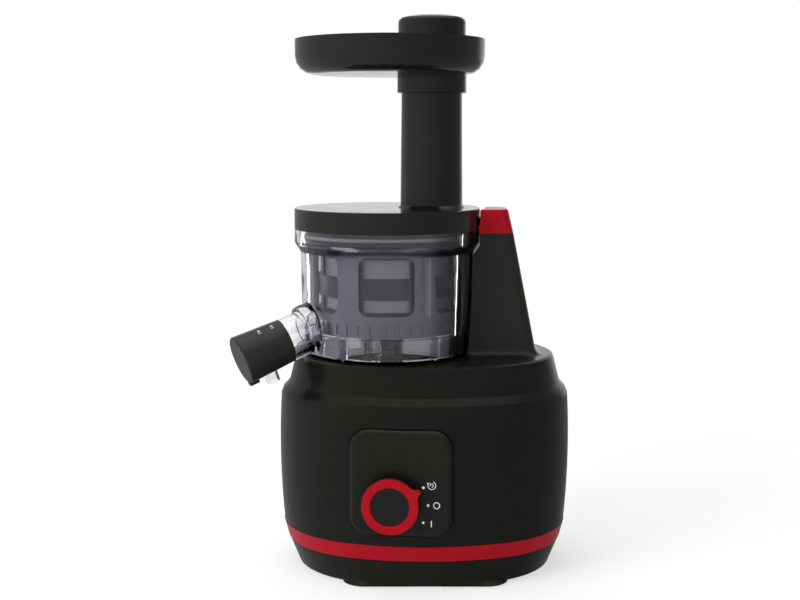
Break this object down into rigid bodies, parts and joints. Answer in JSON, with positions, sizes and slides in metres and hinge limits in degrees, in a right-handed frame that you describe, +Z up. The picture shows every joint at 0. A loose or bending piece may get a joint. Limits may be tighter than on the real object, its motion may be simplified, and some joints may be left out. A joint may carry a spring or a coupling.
{
  "type": "cold press juicer",
  "caption": "Upright slow juicer: oval motor base with rotary knob, clear bowl with spout and pulp outlet, auger, turning brush cage, strainer, lid with feed tube, tray and pusher.",
  "frame": {"origin": "centre of the floor print, on the surface the rubber feet stand on", "axes": "+Z up, +X to the right seen from the front, the control panel faces -Y"},
  "size_m": [0.2466, 0.1806, 0.4013],
  "materials": {
    "body_black": "gloss black moulded plastic",
    "lid_black": "gloss black moulded plastic",
    "trim_red": "gloss red moulded plastic",
    "smoke_clear": "tinted clear plastic",
    "inner_grey": "translucent grey plastic",
    "auger_dark": "grey moulded plastic",
    "steel": "stainless steel",
    "iron": "steel laminations",
    "rubber_black": "black rubber",
    "silicone": "grey silicone",
    "pinion_plastic": "acetal",
    "board_green": "circuit board",
    "switch_plastic": "dark moulded plastic"
  },
  "bodies": {
    "base": {"base_pan": "body_black", "rubber_feet": "rubber_black", "case_screws": "steel", "trim_band": "trim_red", "base_housing": "body_black", "cord_bush": "rubber_black", "control_panel": "body_black", "rotary_switch": "switch_plastic", "top_cover": "body_black", "column_cap": "trim_red", "output_bush": "pinion_plastic", "shaft_seal": "rubber_black", "motor_can": "steel", "motor_stator": "iron", "gearbox_case": "switch_plastic", "gearbox_cover": "switch_plastic", "circuit_board": "board_green"},
    "knob": {"knob_body": "body_black", "knob_ring": "trim_red", "knob_spindle": "steel"},
    "rotor": {"motor_rotor": "iron", "motor_fan": "switch_plastic"},
    "drive": {"drive_shaft": "steel"},
    "bowl": {"juice_bowl": "smoke_clear", "bowl_seal": "silicone", "pulp_plug": "silicone", "spout_seal": "silicone", "strainer_frame": "inner_grey", "strainer_screen": "steel"},
    "spout_cup": {"spout_cap": "lid_black", "spout_nose": "smoke_clear"},
    "press": {"auger": "auger_dark"},
    "idler": {"idler_gear": "pinion_plastic"},
    "brush": {"brush_holder": "inner_grey", "wiper_blades": "silicone"},
    "lid_seal": {"lid_gasket": "rubber_black"},
    "lid_group": {"lid": "lid_black", "lid_bush": "pinion_plastic"},
    "tray": {"feed_tray": "lid_black"},
    "pusher": {"pusher_body": "lid_black", "pusher_cap": "lid_black"}
  },
  "joints": [
    {"name": "knob_turn", "type": "hinge", "parent": "base", "child": "knob", "pos_m": [-0.00687, -0.07573, 0.065], "axis": [-0.1045, -0.9945, 0], "range_deg": [-58, 0]},
    {"name": "rotor_spin", "type": "hinge", "parent": "base", "child": "rotor", "pos_m": [0.0355, 0.0047, 0.06], "axis": [0, 0, 1], "continuous": true},
    {"name": "drive_spin", "type": "hinge", "parent": "base", "child": "drive", "pos_m": [-0.0105, 0.0047, 0.157], "axis": [0, 0, 1], "continuous": true},
    {"name": "bowl_lift", "type": "slide", "parent": "base", "child": "bowl", "axis": [0, 0, 1], "range_m": [0, 0.12]},
    {"name": "spout_cap_turn", "type": "hinge", "parent": "bowl", "child": "spout_cup", "pos_m": [-0.06719, -0.02114, 0.1765], "axis": [-0.8551, -0.3897, -0.342], "range_deg": [0, 90]},
    {"name": "auger_spin", "type": "hinge", "parent": "bowl", "child": "press", "pos_m": [-0.0105, 0.0047, 0.176], "axis": [0, 0, 1], "continuous": true},
    {"name": "idler_spin", "type": "hinge", "parent": "bowl", "child": "idler", "pos_m": [-0.02119, -0.02466, 0.176], "axis": [0, 0, 1], "continuous": true},
    {"name": "brush_spin", "type": "hinge", "parent": "bowl", "child": "brush", "pos_m": [-0.0105, 0.0047, 0.176], "axis": [0, 0, 1], "continuous": true},
    {"name": "lid_turn", "type": "hinge", "parent": "bowl", "child": "lid_seal", "pos_m": [-0.0105, 0.0047, 0.2483], "axis": [0, 0, 1], "range_deg": [0, 25]},
    {"name": "lid_lift", "type": "slide", "parent": "lid_seal", "child": "lid_group", "axis": [0, 0, 1], "range_m": [0, 0.04]},
    {"name": "tray_lift", "type": "slide", "parent": "lid_group", "child": "tray", "axis": [0, 0, 1], "range_m": [0, 0.03]},
    {"name": "pusher_slide", "type": "slide", "parent": "tray", "child": "pusher", "axis": [0, 0, 1], "range_m": [0, 0.1]}
  ],
  "couplings": [
    {"joint": "drive_spin", "follows": "rotor_spin", "ratio": 0.033333},
    {"joint": "auger_spin", "follows": "rotor_spin", "ratio": 0.033333},
    {"joint": "idler_spin", "follows": "rotor_spin", "ratio": -0.02619},
    {"joint": "brush_spin", "follows": "rotor_spin", "ratio": -0.0094017}
  ]
}
